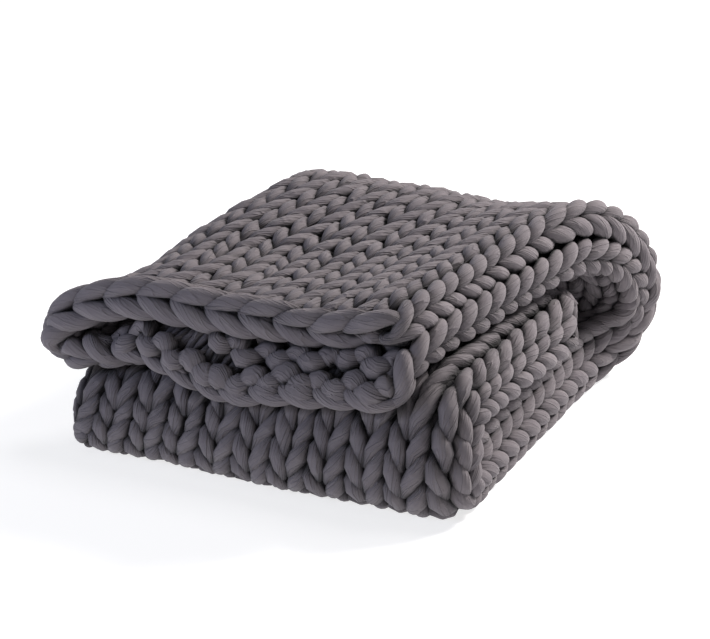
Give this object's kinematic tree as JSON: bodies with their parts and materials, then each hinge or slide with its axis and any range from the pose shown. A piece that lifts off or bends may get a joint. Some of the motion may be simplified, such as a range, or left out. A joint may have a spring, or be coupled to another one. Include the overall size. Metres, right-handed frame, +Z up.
{
  "type": "weighted blanket",
  "caption": "Chunky hand-knit weighted blanket in charcoal grey, folded into a thick square pile with its looped side edges on the right and its end edge hanging open at the front.",
  "frame": {"origin": "on the floor under the middle of the folded blanket's bounding box", "axes": "+Z up from the floor, +Y from the open end edge at the front to the back turn, +X from the folded side to the side edges"},
  "size_m": [0.7082, 0.6752, 0.3074],
  "materials": {
    "knit": "matt"
  },
  "bodies": {
    "root": {"blanket": "knit"}
  },
  "joints": []
}
